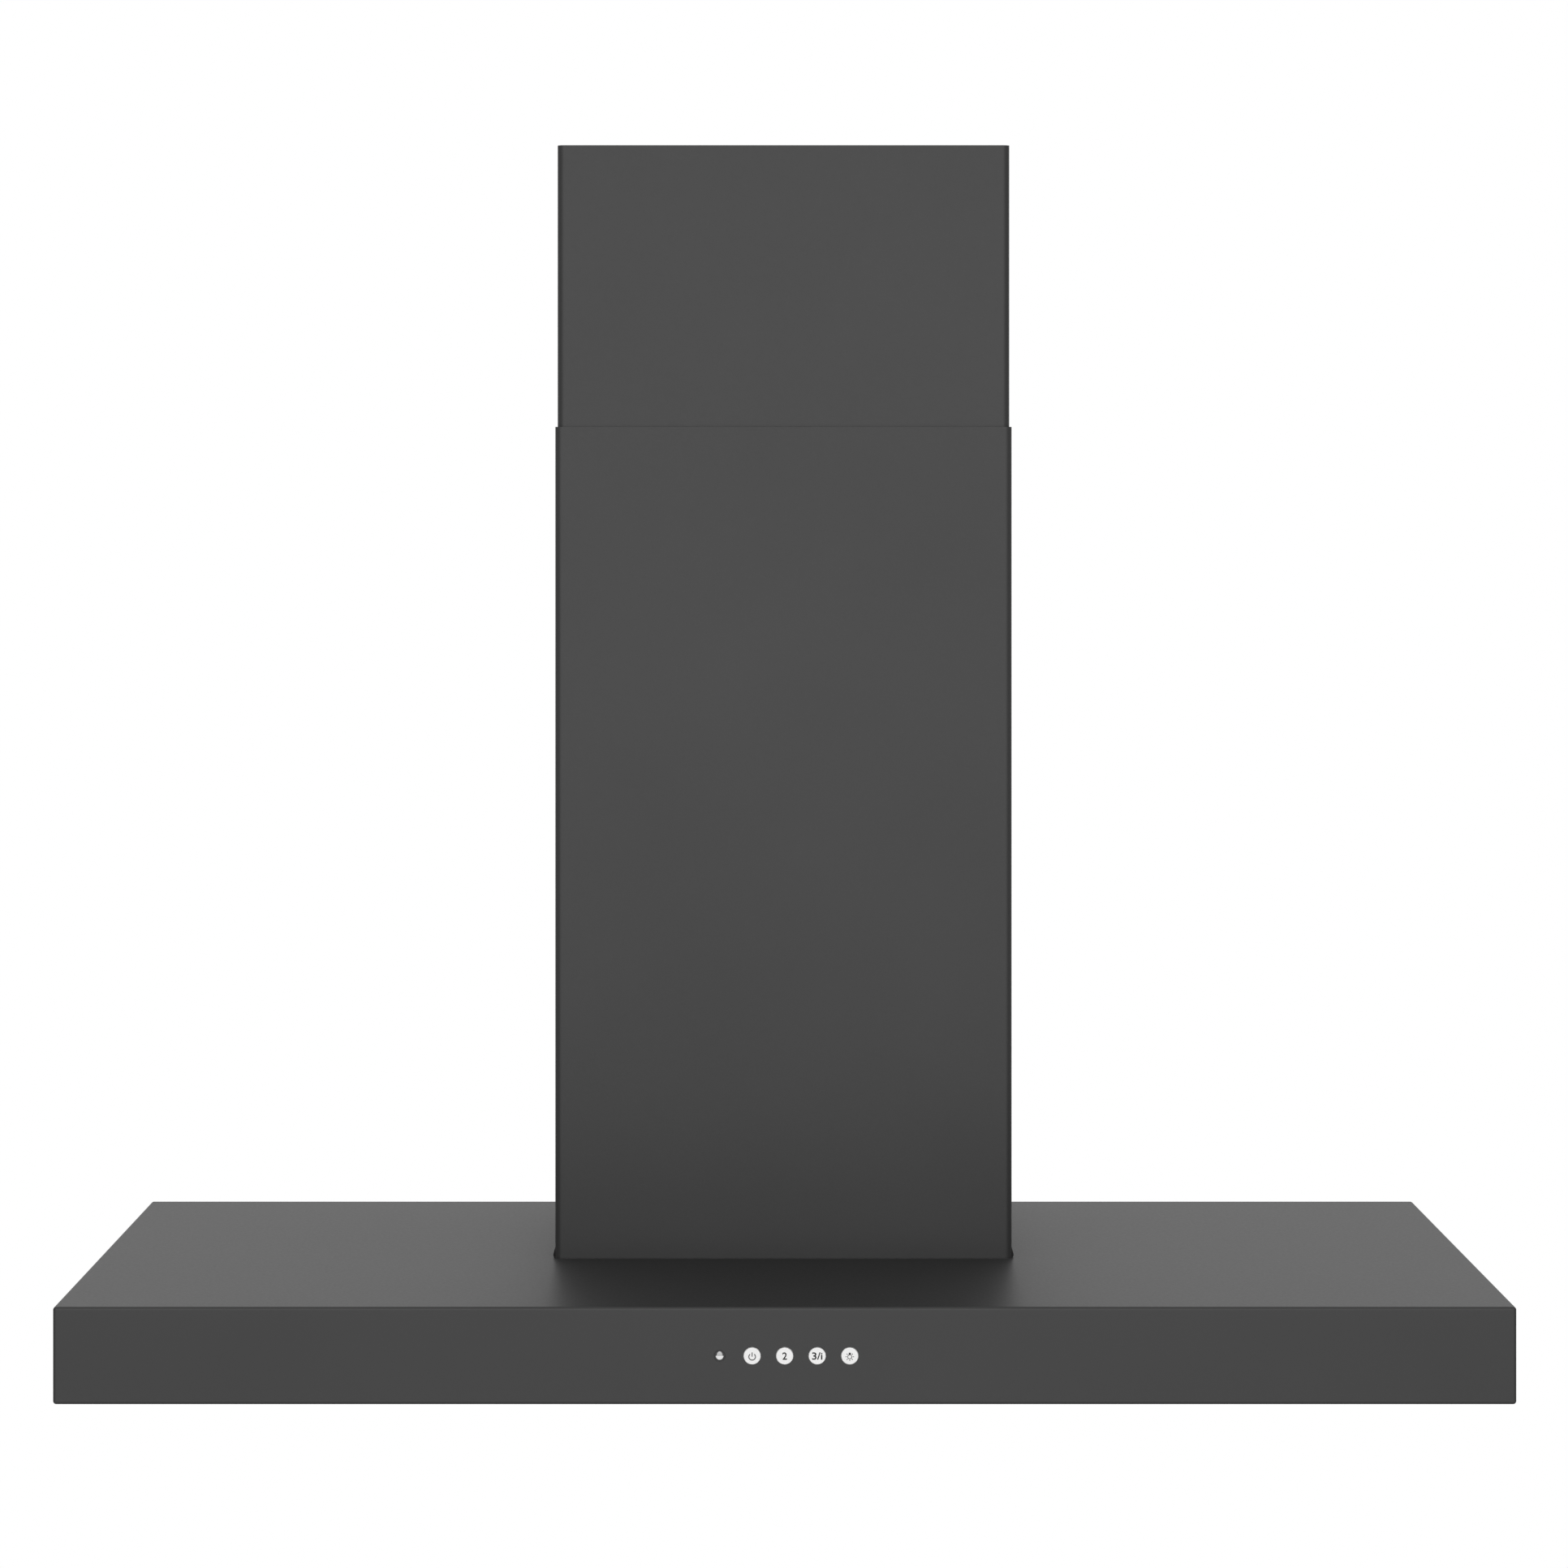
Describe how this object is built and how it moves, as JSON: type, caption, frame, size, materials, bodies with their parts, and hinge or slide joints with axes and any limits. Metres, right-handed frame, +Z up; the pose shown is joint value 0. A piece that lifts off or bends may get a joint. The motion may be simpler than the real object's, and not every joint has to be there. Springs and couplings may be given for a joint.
{
  "type": "chimney range hood",
  "caption": "Wall chimney range hood: shallow rectangular canopy with push buttons, hinged baffle filters and lamps, blower inside, and a telescopic rectangular chimney.",
  "frame": {"origin": "on the wall plane, at the middle of the canopy's lower edge", "axes": "+X to the right seen from the front, +Y into the wall, +Z up"},
  "size_m": [0.9, 0.5008, 0.791],
  "materials": {
    "carbon_paint": "satin dark grey powder coat",
    "baffle_steel": "brushed stainless steel",
    "zinc_sheet": "galvanised steel sheet",
    "fixing_steel": "bright zinc plated steel",
    "motor_alloy": "die-cast aluminium",
    "motor_iron": "stacked electrical steel",
    "bearing_steel": "polished bearing steel",
    "black_plastic": "black moulded plastic",
    "grey_plastic": "grey moulded plastic",
    "white_plastic": "white moulded plastic",
    "board_green": "coated circuit board",
    "seal_rubber": "black rubber",
    "lamp_glass": "frosted glass",
    "indicator_clear": "frosted clear plastic",
    "lead_sheath": "black cable sheath"
  },
  "bodies": {
    "hood": {"canopy_shell": "carbon_paint", "canopy_back": "zinc_sheet", "filter_tray": "carbon_paint", "filter_hooks": "zinc_sheet", "lamp_bezels": "baffle_steel", "lamp_lenses": "lamp_glass", "lamp_housings": "motor_alloy", "button_carrier": "black_plastic", "push_switches": "black_plastic", "control_board": "board_green", "indicator_lens": "indicator_clear", "indicator_ring": "black_plastic", "lower_chimney": "carbon_paint", "base_seals": "seal_rubber", "chimney_brackets": "zinc_sheet", "chimney_nuts": "fixing_steel", "wall_plate": "zinc_sheet", "blower_box": "zinc_sheet", "blower_cover": "zinc_sheet", "scroll_left": "grey_plastic", "scroll_right": "grey_plastic", "inlet_ring": "grey_plastic", "motor_can": "motor_alloy", "motor_cap": "motor_alloy", "motor_stator": "motor_iron", "motor_bearings": "bearing_steel", "motor_spider": "zinc_sheet", "motor_grommets": "seal_rubber", "outlet_collar": "black_plastic", "damper_pin": "fixing_steel", "control_case": "black_plastic", "case_lid": "black_plastic", "terminal_block": "white_plastic", "cable_gland": "black_plastic", "capacitor": "white_plastic", "capacitor_clip": "zinc_sheet", "wiring": "lead_sheath", "lead_clips": "black_plastic", "fixing_screws": "fixing_steel"},
    "upper_chimney": {"upper_chimney": "carbon_paint", "ceiling_bracket": "zinc_sheet", "ceiling_nuts": "fixing_steel"},
    "fan": {"impeller": "black_plastic", "motor_shaft": "bearing_steel", "motor_rotor": "motor_iron"},
    "damper_left": {"damper_flap_left": "grey_plastic"},
    "damper_right": {"damper_flap_right": "grey_plastic"},
    "button_power": {"button_power": "white_plastic"},
    "button_speed_two": {"button_speed_two": "white_plastic"},
    "button_speed_three": {"button_speed_three": "white_plastic"},
    "button_lamp": {"button_lamp": "white_plastic"},
    "filter_left": {"filter_frame_left": "baffle_steel", "filter_baffles_left": "baffle_steel"},
    "latch_left": {"filter_latch_left": "black_plastic"},
    "filter_middle": {"filter_frame_middle": "baffle_steel", "filter_baffles_middle": "baffle_steel"},
    "latch_middle": {"filter_latch_middle": "black_plastic"},
    "filter_right": {"filter_frame_right": "baffle_steel", "filter_baffles_right": "baffle_steel"},
    "latch_right": {"filter_latch_right": "black_plastic"}
  },
  "joints": [
    {"name": "chimney_slide", "type": "slide", "parent": "hood", "child": "upper_chimney", "axis": [0, 0, 1], "range_m": [-0.16, 0.26]},
    {"name": "fan_spin", "type": "hinge", "parent": "hood", "child": "fan", "pos_m": [0, -0.1191, 0.1896], "axis": [1, 0, 0], "continuous": true},
    {"name": "damper_left_hinge", "type": "hinge", "parent": "hood", "child": "damper_left", "pos_m": [0, -0.18005, 0.3916], "axis": [0, 1, 0], "range_deg": [0, 75]},
    {"name": "damper_right_hinge", "type": "hinge", "parent": "hood", "child": "damper_right", "pos_m": [0, -0.18005, 0.3916], "axis": [0, -1, 0], "range_deg": [0, 75]},
    {"name": "power_press", "type": "slide", "parent": "hood", "child": "button_power", "axis": [0, 1, 0], "range_m": [0, 0.0012], "stiffness_N_per_m": 1000},
    {"name": "speed_two_press", "type": "slide", "parent": "hood", "child": "button_speed_two", "axis": [0, 1, 0], "range_m": [0, 0.0012], "stiffness_N_per_m": 1000},
    {"name": "speed_three_press", "type": "slide", "parent": "hood", "child": "button_speed_three", "axis": [0, 1, 0], "range_m": [0, 0.0012], "stiffness_N_per_m": 1000},
    {"name": "lamp_press", "type": "slide", "parent": "hood", "child": "button_lamp", "axis": [0, 1, 0], "range_m": [0, 0.0012], "stiffness_N_per_m": 1000},
    {"name": "filter_left_hinge", "type": "hinge", "parent": "hood", "child": "filter_left", "pos_m": [0, -0.04, 0.0162], "axis": [1, 0, 0], "range_deg": [0, 70]},
    {"name": "latch_left_slide", "type": "slide", "parent": "filter_left", "child": "latch_left", "axis": [0, 1, 0], "range_m": [0, 0.008], "stiffness_N_per_m": 400},
    {"name": "filter_middle_hinge", "type": "hinge", "parent": "hood", "child": "filter_middle", "pos_m": [0, -0.04, 0.0162], "axis": [1, 0, 0], "range_deg": [0, 70]},
    {"name": "latch_middle_slide", "type": "slide", "parent": "filter_middle", "child": "latch_middle", "axis": [0, 1, 0], "range_m": [0, 0.008], "stiffness_N_per_m": 400},
    {"name": "filter_right_hinge", "type": "hinge", "parent": "hood", "child": "filter_right", "pos_m": [0, -0.04, 0.0162], "axis": [1, 0, 0], "range_deg": [0, 70]},
    {"name": "latch_right_slide", "type": "slide", "parent": "filter_right", "child": "latch_right", "axis": [0, 1, 0], "range_m": [0, 0.008], "stiffness_N_per_m": 400}
  ]
}
